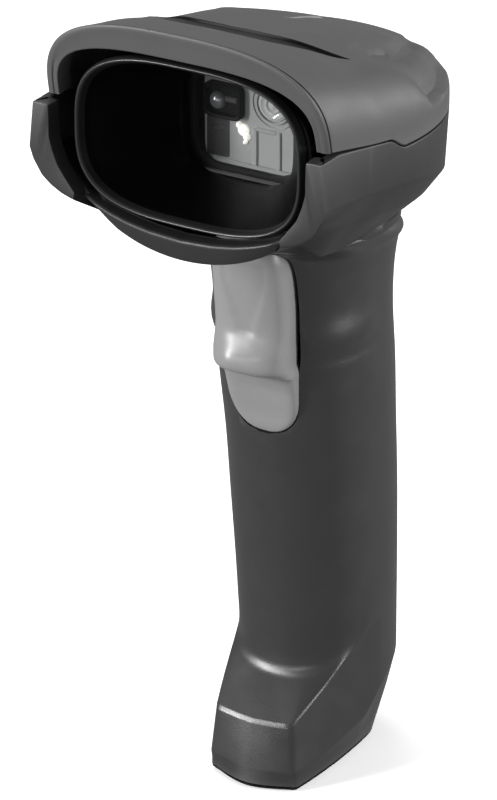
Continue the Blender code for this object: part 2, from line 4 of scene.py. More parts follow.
import bmesh
import bpy
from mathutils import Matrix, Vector


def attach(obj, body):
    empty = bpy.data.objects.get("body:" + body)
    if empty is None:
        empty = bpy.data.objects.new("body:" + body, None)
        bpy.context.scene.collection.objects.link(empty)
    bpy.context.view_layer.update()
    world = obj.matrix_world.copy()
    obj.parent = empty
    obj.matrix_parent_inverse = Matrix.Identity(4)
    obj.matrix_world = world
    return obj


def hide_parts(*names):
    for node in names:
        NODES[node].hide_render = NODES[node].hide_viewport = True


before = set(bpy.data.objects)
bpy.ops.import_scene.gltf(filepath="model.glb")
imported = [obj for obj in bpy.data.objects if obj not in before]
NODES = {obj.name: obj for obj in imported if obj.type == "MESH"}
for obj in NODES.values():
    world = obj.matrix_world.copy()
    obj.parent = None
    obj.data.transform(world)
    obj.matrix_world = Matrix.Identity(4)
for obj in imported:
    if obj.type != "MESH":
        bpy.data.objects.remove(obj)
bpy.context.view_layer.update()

# Driving dimensions of the part, in millimetres. Z is up and the window looks along -Y.
MM = 0.001
HEIGHT, HALF_WIDTH, FRONT_Y, REAR_Y = 175.0, 33.0, -40.0, 40.0
GAP, WALL = 0.3, 2.2
SHARP_ANGLE = radians(35)
SLIVER, CORNER_SHARE = 0.004, 0.46    # points closer than this are merged; most of an edge a corner takes

# Head: nearly straight sides forward of WAIST_Y, half an ellipse behind it and a roof that falls to the rear.
WAIST_Y, ROOF_SLOPE, DOME_POWER = -8.0, 0.25, 2.8
LIP_FOOT_Y, LIP_FOOT_Z, LIP_LEAN = -36.0, 156.0, 4.0 / 19.0
SEAM_Z, SEAM_SLOPE, SEAM_BEVEL = 156.0, 0.2, 0.25
NOTCH_Y, NOTCH_RUN, NOTCH_DROP = -15.5, 6.9, 2.6
WING_TOP_Z, MOUTH_Z = 155.2, 150.0
COVER_SIDE, COVER_REAR, COVER_LEVELS = 46, 40, 44

# Lip round the mouth: half width, height and power of its outer and inner arch, and its groove as (back, in).
LIP_OUTER, LIP_INNER = (30.9, 19.0, DOME_POWER), (28.5, 13.2, 3.2)
LIP_GROOVE = ((1.28, 0.0), (1.18, 0.28), (0.98, 0.28), (0.90, 0.0))

# Spine and valley of the roof: how far out each lies, by y.
RIDGE = ((-15.0, 10.4), (14.0, 18.6), (24.0, 15.0), (34.0, 8.0))
VALLEY = ((-24.0, 24.5), (-7.0, 23.0), (6.0, 23.5), (15.0, 20.5), (26.0, 15.5), (36.0, 9.0))

# Badge arcs: y in the middle, how far they bend back, and the power of the bend.
BADGE_HALF, BADGE_ARC, BADGE_GAP = 21.0, 21.2, 0.12
BADGE_FRONT, BADGE_REAR = (-25.3, 15.0, 4.5), (-17.8, 8.0, 3.0)

# Light bar and the slot that it lies in.
PIPE_Y, PIPE_LENGTH, PIPE_HALF, PIPE_STEPS = 2.95, 12.1, 1.05, 24
PIPE_SLOT_Y, PIPE_SLOT_HALF = (2.75, 15.25), 1.25

# Collar edges of the right half as (x, z) at the front, then the section's corner radii.
MOUTH_EDGE = ((32.0, WING_TOP_Z), (28.9, WING_TOP_Z), (28.6, 154.9), (28.5, 152.0), (28.5, 148.5),
              (27.8, 145.9), (26.7, 143.0), (24.7, 140.3), (22.9, 138.0))
WING_EDGE = ((33.0, 145.4), (32.3, 143.2), (30.5, 140.3), (28.4, 138.6), (26.2, 137.4), (24.4, 136.8),
             (23.2, 136.5))
CHIN_EDGE = ((0.0, 132.5), (7.0, 132.9), (12.0, 133.7), (16.0, 134.7), (19.0, 135.7), (21.6, 136.9))
CHIN_Y, CHIN_HALF = -38.4, 22.4
CHIN_PLAN_HALF, CHIN_FRONT_Y, CHIN_WAIST_Y, CHIN_POWER = 22.0, -37.4, -12.0, 6.0
# Plans of the facet and the underside: half width, front, rear, waist, power of each end and split.
FACET_PLAN, UNDER_PLAN = (29.6, -38.9, 34.2, -10.0, 6.0, 2.0, -35.6), (22.2, -21.0, 30.4, -2.0, 2.8, 2.0, -17.0)
SIDE_STEPS, WING_STEPS, CHIN_STEPS = 80, 26, 30
COLLAR_RADII = (0.3, 0.55, 0.8, 0.9, 0.3, 0, 0, 0, 0, 0.3)

# Light tunnel: y, half width, half height and corner radius round its closed section.
TUNNEL_PROFILE = ((-33.6, 26.5, 16.3, 0.3), (-31.5, 26.5, 16.3, 0.3), (-31.5, 25.0, 15.4, 0.5),
                  (-17.0, 14.4, 13.8, 0.3), (-14.6, 14.4, 13.8, 0.2), (-14.6, 12.6, 12.2, 0.2),
                  (-17.0, 12.6, 12.2, 0.8), (-33.8, 23.8, 15.2, 1.2), (-35.8, 24.3, 15.8, 0.5),
                  (-36.3, 24.8, 16.3, 0.45), (-35.8, 25.3, 16.7, 0.4), (-33.8, 25.6, 16.9, 0.3))
TUNNEL_COUNT, RIM_Y = 120, -34.4

# Scan engine behind the window. PLATE_Y is the front face of its plate.
PLATE_Y, ENGINE_Z = -11.0, 148.8
AIMER, CAMERA_BOX, CAMERA_LENS = (4.9, 151.9), (-6.0, 150.9), (-7.6, 150.5)
AXIS_RADIUS = 0.02
# Ribs: x and z from and to, height and edge. Rings: radius and height. Painted glint domes: x, z and radius.
PLATE_RIBS = ((0.0, 1.3, 138.0, 146.2, 0.4, 0.25), (5.3, 6.6, 138.0, 146.4, 0.4, 0.25),
              (0.9, 5.6, 145.6, 146.5, 0.4, 0.25), (-10.6, 10.7, 137.6, 138.5, 0.8, 0.3))
AIMER_RINGS = ((5.0, 0.25), (3.9, 0.55))
PAINTED_GLINT_DOMES = ((-1.9, 145.3, 1.3), (-1.2, 144.0, 0.8), (-2.9, 146.2, 0.7), (-1.5, 142.9, 0.45))

# Handle rings from the top down: height, middle, half width and half depth.
HANDLE = ((116.0, 9.0, 17.6, 20.8), (109.0, 9.2, 16.9, 19.4), (100.0, 9.5, 16.6, 19.0),
          (88.0, 11.0, 16.5, 18.8), (74.0, 12.7, 16.0, 18.5), (59.0, 14.1, 15.7, 18.4),
          (45.0, 15.2, 15.3, 18.2), (35.0, 15.8, 15.1, 17.9))
HANDLE_FOOT, HANDLE_POWER = (16.1, 15.0, 17.7), 2.35
# Where the handle meets the head: half width, front, rear and y of the widest place.
HANDLE_TOP, HANDLE_NECK = (19.9, -20.6, 27.2, -2.0), (19.2, -14.0, 29.9, 7.0)
HANDLE_STEPS, SPAN_STEPS = (52, 44), 7
GRIP_Y = 9.5

# Foot rings from the arris of the toe down: growth, heel drawn in, corner spread, bow and hips tucked in.
FOOT_RINGS = ((0.0, 0.0, 0.0, 0.3, 0.0), (0.1, 0.2, 1.0, 1.4, 0.0), (-0.3, 1.8, 1.4, 1.8, 1.3),
              (-0.9, 7.0, 2.2, 2.4, 2.4))
HIP_Y, HIP_SWELL, TOE_FRONT_Y, TOE_CORNER = 12.3, 0.6, -11.3, (9.0, -10.9)
TOE_SLOPE, TOE_EDGE_Z, CAP_THICK = 0.624, 15.3, 2.0
FOOT_CREASE = ((-16.0, 4.2), (-10.0, 4.8), (2.0, 7.2), (11.2, 9.6), (16.0, 14.0), (21.0, 17.0), (27.0, 19.0))
FOOT_RADII = (0, 1.9, 0.25, 0.25, 0.35, 5.0, 0)
# Pad rings from the ground up: height, growth and heel drawn in.
PAD_RINGS = ((0.0, -2.0, 8.2), (0.3, -1.4, 7.6), (0.95, -0.95, 7.1), (1.0, -1.2, 7.3), (1.0, -3.8, 9.8),
             (CAP_THICK, -3.8, 9.8))
# Holes in the pad: x, y, radius, how high each goes, and name.
PAD_HOLES = ((0.0, -4.0, 2.9, 1.3, "screw_sink"), (0.0, -4.0, 1.5, 9.0, "screw_pass"),
             (-5.0, 17.0, 1.8, 9.0, "contact_pass"), (5.0, 17.0, 1.8, 9.0, "contact_pass"))

# Trigger slot and lever from the top down: height, front, half width and rear.
TRIGGER = ((125.6, -12.4, 7.2, -3.8), (122.0, -15.2, 7.8, -3.2), (118.0, -15.1, 8.6, -3.4),
           (110.0, -13.7, 8.7, -3.4), (104.0, -13.3, 8.7, -3.0), (99.6, -14.3, 8.7, -2.6),
           (96.6, -14.0, 8.5, -2.4), (94.4, -11.6, 8.2, -2.2), (92.6, -9.8, 7.9, -2.1),
           (86.0, -7.8, 7.65, -1.9), (83.4, -7.2, 7.2, -1.9), (81.4, -6.8, 6.2, -1.8),
           (80.0, -6.4, 4.9, -1.8), (79.1, -6.1, 3.4, -1.8), (78.7, -5.9, 1.8, -1.8))
LEVER = ((125.6, -12.4, 7.2, -3.8), (122.0, -14.6, 7.8, -3.2), (118.0, -14.6, 8.6, -3.4),
         (110.0, -13.5, 8.7, -3.4), (104.0, -13.1, 8.6, -3.0), (99.0, -14.3, 8.6, -2.6),
         (95.8, -14.0, 8.5, -2.4), (93.6, -11.6, 8.3, -2.2), (92.0, -9.7, 8.2, -2.1),
         (86.0, -7.9, 7.8, -1.9), *TRIGGER[10:])
LEVER_PROUD, LEVER_SLIM = 2.4, 0.4
SLOT_GAP, SLOT_TOP_Z, SLOT_Y, SLOT_POWER = 0.34, 129.6, (-50.0, -1.0), 12.0
PIVOT_Y, PIVOT_Z, PIN_BORE = -7.0, 122.0, 1.5
SPRING_Z, SPRING_SEAT = 93.5, 2.85

# Surfaces: how many metres a bump stands, and the scales of the slow and the patchy noise.
GRAIN_DEPTH, MOTTLE_SCALE, PATCH_SCALE = 0.00005, 55.0, 140.0

# Studio, in metres and watts: name, place, width and height, and power of each soft box.
LIGHT_TARGET = (0.0, 0.0, 0.09)
SOFT_BOXES = (("right_box", (1.15, 0.2, 0.40), (0.45, 0.8), 12.0),
              ("back_box", (0.8, 1.1, 0.35), (0.5, 0.8), 7.0),
              ("left_box", (-0.62, -0.85, 0.36), (0.16, 0.75), 14.0),
              ("top_box", (-0.5, 0.3, 1.3), (0.8, 0.8), 10.0),
              ("low_box", (-0.1, -1.2, 0.05), (0.8, 0.2), 2.5))
FLOOR_HALF, FLOOR_NEAR, SWEEP_Y, SWEEP_RADIUS, WALL_TOP, SWEEP_STEPS = 3.2, -2.2, 1.6, 0.9, 2.6, 16


# ---- numbers and curves

def smooth(t):
    """0 below zero, 1 above one, and an easy rise between."""
    t = min(max(t, 0.0), 1.0)
    return t * t * (3.0 - 2.0 * t)


def bump(t):
    """A soft hill, 1 in the middle and 0 beyond one either way."""
    return smooth(1.0 - abs(t))


def table(rows, x):
    """Straight-line reading of a table of (x, value) pairs in rising x."""
    for (xa, va), (xb, vb) in zip(rows, rows[1:]):
        if x <= xb:
            return va + (vb - va) * max(0.0, (x - xa) / (xb - xa))
    return rows[-1][1]


def around(points, i):
    """Both ends of span i and their outer neighbours, with the first and last points repeated."""
    return [points[min(max(k, 0), len(points) - 1)] for k in (i - 1, i, i + 1, i + 2)]


def catmull_rom(a, b, c, d, t):
    """Value at t between b and c on a smooth curve through four numbers or points."""
    return 0.5 * (2 * b + (c - a) * t + (2 * a - 5 * b + 4 * c - d) * t * t
                  + (3 * b - a - 3 * c + d) * t ** 3)


def curve_through(points, steps):
    """Smooth curve through the points, with the given number of steps in each span."""
    path = []
    for i in range(len(points) - 1):
        path += [catmull_rom(*around(points, i), s / steps) for s in range(steps)]
    return path + [points[-1]]


def spline_rows(rows, steps):
    """Rows of a table with smooth values between them."""
    made = []
    for i in range(len(rows) - 1):
        columns = list(zip(*around(rows, i)))
        made += [tuple(catmull_rom(*column, s / steps) for column in columns) for s in range(steps)]
    return made + [rows[-1]]


def fillet(points, radii, steps=3, closed=False):
    """A path with its corners rounded; a radius of 0 leaves that corner as it is."""
    path = []
    for i, (point, radius) in enumerate(zip(points, radii)):
        if radius == 0 or (not closed and i in (0, len(points) - 1)):
            path.append(point)
            continue
        ends = []
        for other in (points[i - 1], points[(i + 1) % len(points)]):
            arm = other - point
            ends.append(point + arm * min(radius / max(arm.length, 1e-6), CORNER_SHARE))
        for s in range(steps + 1):
            t = s / steps
            path.append(ends[0] * (1 - t) ** 2 + point * 2 * t * (1 - t) + ends[1] * t * t)
    return path


def resample(curve, count):
    """Evenly spaced points along a polyline, without its last point."""
    lengths = [0.0]
    for a, b in zip(curve, curve[1:]):
        lengths.append(lengths[-1] + (b - a).length)
    points, at = [], 0
    for i in range(count):
        goal = lengths[-1] * i / count
        while lengths[at + 1] < goal:
            at += 1
        t = (goal - lengths[at]) / max(lengths[at + 1] - lengths[at], 1e-9)
        points.append(curve[at].lerp(curve[at + 1], t))
    return points


def superellipse(half_a, half_b, power, count):
    """Outline between an ellipse (power 2) and a rectangle, as pairs."""
    points = []
    for i in range(count):
        angle = 2 * pi * i / count
        c, s = cos(angle), sin(angle)
        points.append((half_a * abs(c) ** (2 / power) * (1 if c >= 0 else -1),
                       half_b * abs(s) ** (2 / power) * (1 if s >= 0 else -1)))
    return points


def half_plan(half_width, front, rear, waist, front_power, rear_power, split, steps, fine=540):
    """Right half of an outline in plan, from rear to front, with set numbers of points to split and from it."""
    curve = []
    for i in range(fine + 1):
        angle = pi / 2 - pi * i / fine
        c, s = max(cos(angle), 0.0), sin(angle)
        depth, power = (rear - waist, rear_power) if s > 0 else (waist - front, front_power)
        side = 1 if s > 0 else -1
        curve.append(Vector((half_width * c ** (2 / power), waist + side * depth * abs(s) ** (2 / power))))
    at = next(i for i, point in enumerate(curve) if point.y <= split)
    return resample(curve[:at + 1], steps[0]) + resample(curve[at:], steps[1]) + [curve[-1]]


def raised(plan, height):
    """Points of a plan lifted to a height given for each x and y."""
    return [Vector((p.x, p.y, height(p.x, p.y))) for p in plan]


def flipped(points):
    return [Vector((-p.x, *p[1:])) for p in points]


def mirrored(half):
    """Whole ring from its right half, whose first and last points lie on the middle plane."""
    return half + flipped(reversed(half[1:-1]))


def mirrored_columns(columns):
    """Sections all round from those of the right half, whose first and last lie on the middle plane."""
    return columns + [flipped(column) for column in reversed(columns[1:-1])]


# ---- meshes and pieces

def skin(loops, ring=True, closed=False, caps=(False, False)):
    """Quads between successive loops of points.

    Each loop is a ring unless ring is off, and closed joins the last loop to the first."""
    shape = bmesh.new()
    rows = [[shape.verts.new(point) for point in loop] for loop in loops]
    pairs = list(zip(rows, rows[1:])) + ([(rows[-1], rows[0])] if closed else [])
    count = len(rows[0])
    for low, high in pairs:
        for i in range(count if ring else count - 1):
            j = (i + 1) % count
            shape.faces.new((low[i], low[j], high[j], high[i]))
    for row, capped in zip((rows[0], rows[-1]), caps):
        if capped:
            shape.faces.new(row)
    return shape


def block(loops):
    """Solid through successive rings, closed at both ends."""
    return skin(loops, caps=(True, True))


def rod(place, radius, low, high, count=40):
    """Cylinder whose points come from place, given two offsets across it and a distance along it."""
    angles = [2 * pi * i / count for i in range(count)]
    return block([[place(radius * cos(a), radius * sin(a), along) for a in angles] for along in (low, high)])


def join(shapes):
    """Several closed shapes as one mesh."""
    whole = bmesh.new()
    for shape in shapes:
        mesh = bpy.data.meshes.new("part")
        shape.to_mesh(mesh)
        shape.free()
        whole.from_mesh(mesh)
        bpy.data.meshes.remove(mesh)
    return whole


def in_scene(name, data):
    made = bpy.data.objects.new(name, data)
    bpy.context.scene.collection.objects.link(made)
    return made


def as_object(name, shape):
    """Object in metres from a bmesh in millimetres, which is freed."""
    bmesh.ops.scale(shape, verts=shape.verts, vec=(MM, MM, MM))
    mesh = bpy.data.meshes.new(name)
    shape.to_mesh(mesh)
    shape.free()
    return in_scene(name, mesh)


def shade(mesh):
    """Smooth shading that breaks at sharp edges."""
    mesh.shade_smooth()
    mesh.set_sharp_from_angle(angle=SHARP_ANGLE)


def put(name, shape, finish, body, stands_for=()):
    """Make a piece from a bmesh, with its finish and its body, hiding the CAD nodes it stands for."""
    bmesh.ops.remove_doubles(shape, verts=shape.verts, dist=SLIVER)
    bmesh.ops.recalc_face_normals(shape, faces=shape.faces)
    piece = as_object(name, shape)
    shade(piece.data)
    piece.data.materials.append(finish)
    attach(piece, body)
    if stands_for:
        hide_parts(*stands_for)
    return piece


def cut(piece, shape, name):
    """Cut a shape out of a piece, then drop the cutter."""
    bmesh.ops.recalc_face_normals(shape, faces=shape.faces)
    cutter = as_object(name, shape)
    modifier = piece.modifiers.new(name, "BOOLEAN")
    modifier.object, modifier.solver = cutter, "EXACT"
    graph = bpy.context.evaluated_depsgraph_get()
    result = bpy.data.meshes.new_from_object(piece.evaluated_get(graph))
    piece.modifiers.clear()
    piece.data = result
    bpy.data.objects.remove(cutter)
    shade(result)


# ---- materials

def node(tree, kind, **inputs):
    made = tree.nodes.new(kind)
    for key, value in inputs.items():
        made.inputs[key.replace("_", " ")].default_value = value
    return made


def noise(tree, coords, scale, detail=3.0, roughness=0.55):
    made = node(tree, "ShaderNodeTexNoise", Scale=scale, Detail=detail, Roughness=roughness)
    tree.links.new(coords, made.inputs["Vector"])
    return made.outputs["Fac"]


def ranged(tree, source, low, high, start=0.3, end=0.7):
    """A source between start and end, spread out between low and high."""
    made = node(tree, "ShaderNodeMapRange", From_Min=start, From_Max=end, To_Min=low, To_Max=high)
    tree.links.new(source, made.inputs["Value"])
    return made.outputs["Result"]


def shade_of(colour, scale, lift=0.0):
    return (*[min(c * scale + lift, 1.0) for c in colour], 1)


def mottled(tree, colour, spread, broad, fine):
    """Colour that wavers either way by spread, half with the slow noise and half with the fine one."""
    mix = tree.nodes.new("ShaderNodeMix")
    mix.data_type = "RGBA"
    mix.inputs[6].default_value = shade_of(colour, 1 - spread)
    mix.inputs[7].default_value = shade_of(colour, 1 + spread)
    blend = tree.nodes.new("ShaderNodeMath")
    blend.operation = "ADD"
    tree.links.new(ranged(tree, broad, 0.0, 0.5), blend.inputs[0])
    tree.links.new(ranged(tree, fine, 0.0, 0.5, 0.35, 0.65), blend.inputs[1])
    tree.links.new(blend.outputs[0], mix.inputs[0])
    return mix.outputs[2]


def rubbed_and_sheened(tree, colour, wear_and_sheen, surface):
    """The surface's colour with its convex edges lighter: partly wear, partly a painted highlight along the
    edges.
    """
    pointy = tree.nodes.new("ShaderNodeNewGeometry").outputs["Pointiness"]
    rub = tree.nodes.new("ShaderNodeMix")
    rub.data_type = "RGBA"
    # Lighter colour on convex edges: wear plus a painted edge highlight.
    rub.inputs[7].default_value = shade_of(colour, 1.9, 0.015)
    tree.links.new(ranged(tree, pointy, 0.0, wear_and_sheen, 0.515, 0.60), rub.inputs[0])
    tree.links.new(surface, rub.inputs[6])
    return rub.outputs[2]


def finish(name, colour, roughness, grain=0.0, grain_scale=2600.0, spread=0.06, wear_and_sheen=0.0, metallic=0.0,
           coat=0.0, specular=0.5, alpha=1.0, stretch=(1, 1, 1), smudge=0.05, emit=None):
    """Procedural surface: mottled colour, uneven roughness, a fine moulded grain and convex edges made lighter,
    partly as wear and partly as a painted highlight.
    """
    made = bpy.data.materials.new(name)
    made.use_nodes = True
    tree = made.node_tree
    shader = tree.nodes["Principled BSDF"]
    fixed = {"Metallic": metallic, "Coat Weight": coat, "Specular IOR Level": specular, "Alpha": alpha}
    if emit:
        fixed.update({"Emission Color": (*colour, 1), "Emission Strength": emit})
    for socket, value in fixed.items():
        shader.inputs[socket].default_value = value
    source = tree.nodes.new("ShaderNodeTexCoord").outputs["Object"]
    scaled = node(tree, "ShaderNodeMapping", Scale=stretch)
    tree.links.new(source, scaled.inputs["Vector"])
    coords = scaled.outputs["Vector"]
    fine = noise(tree, coords, grain_scale, 2.0, 0.6)
    broad = noise(tree, coords, MOTTLE_SCALE, 4.0)
    surface = mottled(tree, colour, spread, broad, fine)
    # Convex edges lighter: wear and painted highlight.
    if wear_and_sheen:
        surface = rubbed_and_sheened(tree, colour, wear_and_sheen, surface)
    tree.links.new(surface, shader.inputs["Base Color"])
    patchy = noise(tree, coords, PATCH_SCALE, 5.0)
    uneven = ranged(tree, patchy, max(roughness - smudge, 0.02), min(roughness + smudge, 1.0))
    tree.links.new(uneven, shader.inputs["Roughness"])
    if grain:
        relief = node(tree, "ShaderNodeBump", Strength=grain, Distance=GRAIN_DEPTH)
        tree.links.new(fine, relief.inputs["Height"])
        tree.links.new(relief.outputs["Normal"], shader.inputs["Normal"])
    return made


# Each surface's colour and roughness, then whatever differs from a plain moulding.
FINISHES = {
    "cover_plastic": ((0.080, 0.080, 0.082), 0.50, dict(grain=0.35, wear_and_sheen=0.5)),
    "collar_plastic": ((0.024, 0.024, 0.025), 0.42, dict(grain=0.35, wear_and_sheen=0.5, specular=0.42)),
    "handle_plastic": ((0.026, 0.026, 0.027), 0.34, dict(grain=0.5, wear_and_sheen=0.5, specular=0.85)),
    "base_plastic": ((0.006, 0.006, 0.006), 0.75, dict(grain=0.5, specular=0.2)),
    "gloss_plastic": ((0.022, 0.022, 0.022), 0.30, dict(smudge=0.04)),
    # Near-black inside the tunnel: the bezel's own black darkened further as painted shade.
    "tunnel_matte": ((0.002, 0.002, 0.002), 0.45, dict(specular=0.12, grain=0.2)),
    "badge_gloss": ((0.003, 0.003, 0.003), 0.30, dict(smudge=0.03, specular=0.10)),
    "light_pipe": ((0.30, 0.31, 0.32), 0.25, dict(smudge=0.04)),
    "window_glass": ((0.05, 0.052, 0.054), 0.03, dict(smudge=0.02, alpha=0.08)),
    "foam": ((0.012, 0.012, 0.012), 0.95, dict(grain=0.9, grain_scale=1500.0)),
    # Weak emission on the plate: a painted glow that brightens it.
    "light_guide": ((0.34, 0.35, 0.35), 0.22, dict(smudge=0.06, spread=0.03, emit=0.03)),
    # Dark grey of the camera bar; the same grey makes the painted shade pane and the painted highlight strip
    # under the window.
    "light_guide_dark": ((0.06, 0.06, 0.062), 0.25, dict(smudge=0.05)),
    "black_plastic": ((0.004, 0.004, 0.004), 0.55, dict(specular=0.08)),
    "lens_glass": ((0.16, 0.165, 0.175), 0.10, dict(smudge=0.03, coat=1.0)),
    # Weak emission on the aimer lens: painted glow.
    "aimer_glass": ((0.42, 0.43, 0.43), 0.12, dict(smudge=0.04, emit=0.12)),
    "circuit_board": ((0.015, 0.10, 0.045), 0.40, dict(grain=0.3, grain_scale=900.0, spread=0.2)),
    # The led finish's emission is painted light: a glint on the domes and a glow on the unlit LEDs.
    "led": ((0.85, 0.84, 0.78), 0.30, dict(emit=0.75)),
    "flex_film": ((0.42, 0.22, 0.05), 0.35, dict(stretch=(6, 1, 1), spread=0.15)),
    "tin": ((0.62, 0.62, 0.60), 0.32, dict(metallic=1.0, grain=0.2, stretch=(1, 8, 1))),
    "steel": ((0.52, 0.52, 0.53), 0.30, dict(metallic=1.0, grain=0.3, stretch=(1, 1, 5))),
    "gold": ((0.82, 0.60, 0.24), 0.22, dict(metallic=1.0, grain=0.15, wear_and_sheen=0.3)),
    "cell_wrap": ((0.08, 0.19, 0.38), 0.32, dict(smudge=0.08)),
    "trigger_plastic": ((0.26, 0.26, 0.26), 0.32, dict(grain=0.12, wear_and_sheen=0.15, spread=0.03)),
    "white_plastic": ((0.72, 0.72, 0.71), 0.38, dict(grain=0.2)),
}

# CAD nodes that stay on show, by the finish they get.
CARRIED = {
    "black_plastic": ("engine_chassis", "beeper", "trigger_switch"),
    "lens_glass": ("imager_lens",), "foam": ("window_gasket",),
    "circuit_board": ("imager_board", "main_board", "contact_board", "trigger_board"),
    # The LEDs get the glowing led finish: painted glow.
    "led": ("illumination_led_left", "illumination_led_right"),
    "flex_film": ("engine_flex",), "tin": ("shield_can",),
    "steel": ("board_screw_left", "board_screw_right", "base_screw", "trigger_pin", "trigger_spring"),
    "gold": ("charge_contact_left", "charge_contact_right", "battery_contact"),
    "cell_wrap": ("battery_cell",), "white_plastic": ("switch_plunger",),
}


def make_finishes():
    return {name: finish(name, colour, roughness, **more)
            for name, (colour, roughness, more) in FINISHES.items()}


def dress_carried(finishes):
    """Give the CAD nodes that stay on show their finishes."""
    for slot, names in CARRIED.items():
        for name in names:
            mesh = NODES[name].data
            mesh.materials.clear()
            mesh.materials.append(finishes[slot])
            shade(mesh)


# ---- head cover

def fall_z(y):
    """Straight fall to the rear that the seam and the foot of the dome both follow."""
    return SEAM_Z - SEAM_SLOPE * (y - LIP_FOOT_Y)


def seam_z(y):
    """Height of the cover's lower edge, which drops behind the wings."""
    return fall_z(y) + 0.09 * max(0.0, y - NOTCH_Y) - NOTCH_DROP * smooth((y - NOTCH_Y) / NOTCH_RUN)


def dome_base_z(y):
    return fall_z(y) + 0.055 * max(0.0, y - NOTCH_Y) + 0.9


def cover_half_width(y, inset):
    return HALF_WIDTH - 1.6 * smooth((-18.0 - y) / 20.0) - inset


def roof_z(x, y, inset=0.0):
    """Height of the roof, or of a skin lying inset below it, before its relief."""
    depth = REAR_Y - WAIST_Y - inset
    reach = min(hypot(x / cover_half_width(y, inset), max(0.0, y - WAIST_Y) / depth), 1.0)
    crest = HEIGHT - ROOF_SLOPE * (y - FRONT_Y) - inset
    base = dome_base_z(y)
    return base + (crest - base) * (1.0 - reach ** DOME_POWER) ** (1.0 / DOME_POWER)


def roof_relief(x, y):
    """Depth of the moulded relief: a raised spine with a firm edge, the valley beside it and a short slot."""
    x = abs(x)
    ridge, edge = table(RIDGE, y), table(VALLEY, y)
    valley = 1.6 * smooth((x - ridge) / (edge - ridge)) * (1 - smooth((x - edge) / 5.0))
    valley *= smooth((y + 25.0) / 13.0)
    spine = 0.3 * (1 - smooth((x - ridge + 0.6) / 1.7)) * smooth((y + 16.0) / 3.5)
    spine *= 1 - smooth((y - 22.0) / 12.0)
    slot = max(0.0, 1.0 - hypot((x - 21.4) / 0.9, (y - 3.5) / 4.5))
    return valley - spine + 0.7 * smooth(slot * 3)


def surface_z(x, y):
    """Height of the roof with its relief."""
    return roof_z(x, y) - roof_relief(x, y)


def scoop(y, z):
    """Depth of the hollow facet at each rear corner, with its sharp lower step."""
    start = -5.5 + (162.8 - z) * 0.85
    low = 152.6 - 0.12 * (y - 2.0)
    up = (z - low) / 11.0
    if not 0.0 < up < 1.0:
        return 0.0
    along = smooth((y - start) / 2.6) * (1 - smooth((y - 24.0) / 9.0))
    return 2.7 * along * (1 - up) ** 0.45 * smooth(up * 16)


def carve(p, reach):
    """Sink a point of the outer skin by the roof's relief and by the facet at its rear corner."""
    p.z -= roof_relief(p.x, p.y) * smooth((0.965 - reach) / 0.1)
    side = Vector((p.x, max(0.0, p.y - WAIST_Y) * 0.47, 0))
    if side.length > 1:
        p -= side.normalized() * scoop(p.y, p.z)


def level_start(reach, inset, z_at):
    """Where a level of the cover begins: just behind the leaning plane of the lip."""
    start = LIP_FOOT_Y
    for _ in range(30):
        x = reach * cover_half_width(start, inset)
        start = 0.5 * (start + LIP_FOOT_Y - (z_at(x, start) - LIP_FOOT_Z) * LIP_LEAN)
    return start + (1.4 if inset == 0 else 2.5)


def cover_curve(reach, inset, above_seam=None):
    """One level of the cover from the right side of the lip round the rear to the left side.

    It lies on the roof, or at a set height above the seam."""
    def z_at(x, y):
        return roof_z(x, y, inset) if above_seam is None else seam_z(y) + above_seam
    start = level_start(reach, inset, z_at)
    half = []
    for i in range(COVER_SIDE):
        y = start + (WAIST_Y - start) * i / COVER_SIDE
        x = reach * cover_half_width(y, inset)
        half.append(Vector((x, y, z_at(x, y))))
    for i in range(COVER_REAR + 1):
        angle = pi / 2 * i / COVER_REAR
        x = reach * (HALF_WIDTH - inset) * cos(angle)
        y = WAIST_Y + reach * (REAR_Y - WAIST_Y - inset) * sin(angle)
        half.append(Vector((x, y, z_at(x, y))))
    whole = half + flipped(reversed(half[:-1]))
    if not inset and above_seam is None:
        for p in whole:
            carve(p, reach)
    return whole


def lip_point(half_width, half_height, power, turn):
    z = LIP_FOOT_Z + half_height * sin(turn) ** (2 / power)
    return Vector((half_width * cos(turn) ** (2 / power), LIP_FOOT_Y - (z - LIP_FOOT_Z) * LIP_LEAN, z))


def lip_profile(turn, skin_end):
    """Section of the lip from the outer skin over its groove, round its bevel and face, and under it."""
    outer, inner = lip_point(*LIP_OUTER, turn), lip_point(*LIP_INNER, turn)
    inward, back = (inner - outer).normalized(), (skin_end - outer).normalized()
    groove = [outer + back * behind + inward * deep for behind, deep in LIP_GROOVE]
    bevel = fillet([outer + back * 0.85, outer, inner], (0, 1.2, 0), steps=6)[:-1]
    shelf = inner + Vector((0, 5.0, 0)) - inward * 0.3
    edge = fillet([outer.lerp(inner, 0.6) + back * 0.25, inner, shelf], (0, 0.45, 0), steps=3)
    return groove + bevel + edge


def cover_ring(outer, inner, turn, at_rim=False):
    """Ring of the shell: outer skin, left lip, inner skin back again and right lip.

    At the rim the lip is lifted to the height of the skin."""
    right = lip_profile(turn, outer[0])
    if at_rim:
        rise = Vector((0, 0, outer[0].z - right[len(LIP_GROOVE) - 1].z))
        right = [p + rise for p in right]
    return outer + flipped(right) + inner[::-1] + right[::-1]


def close_foot(shape, ring_count, count):
    """Faces across the shell's lower edge, whose outer and inner skins have count points each."""
    foot = list(shape.verts)[:ring_count]
    lip = ring_count // 2 - count
    outer, left = foot[:count], foot[count:count + lip]
    inner, right = foot[count + lip:2 * count + lip][::-1], foot[2 * count + lip:][::-1]
    for i in range(count - 1):
        shape.faces.new((outer[i], outer[i + 1], inner[i + 1], inner[i]))
    shape.faces.new([outer[-1], *left, inner[-1]])
    shape.faces.new([outer[0], *right, inner[0]])


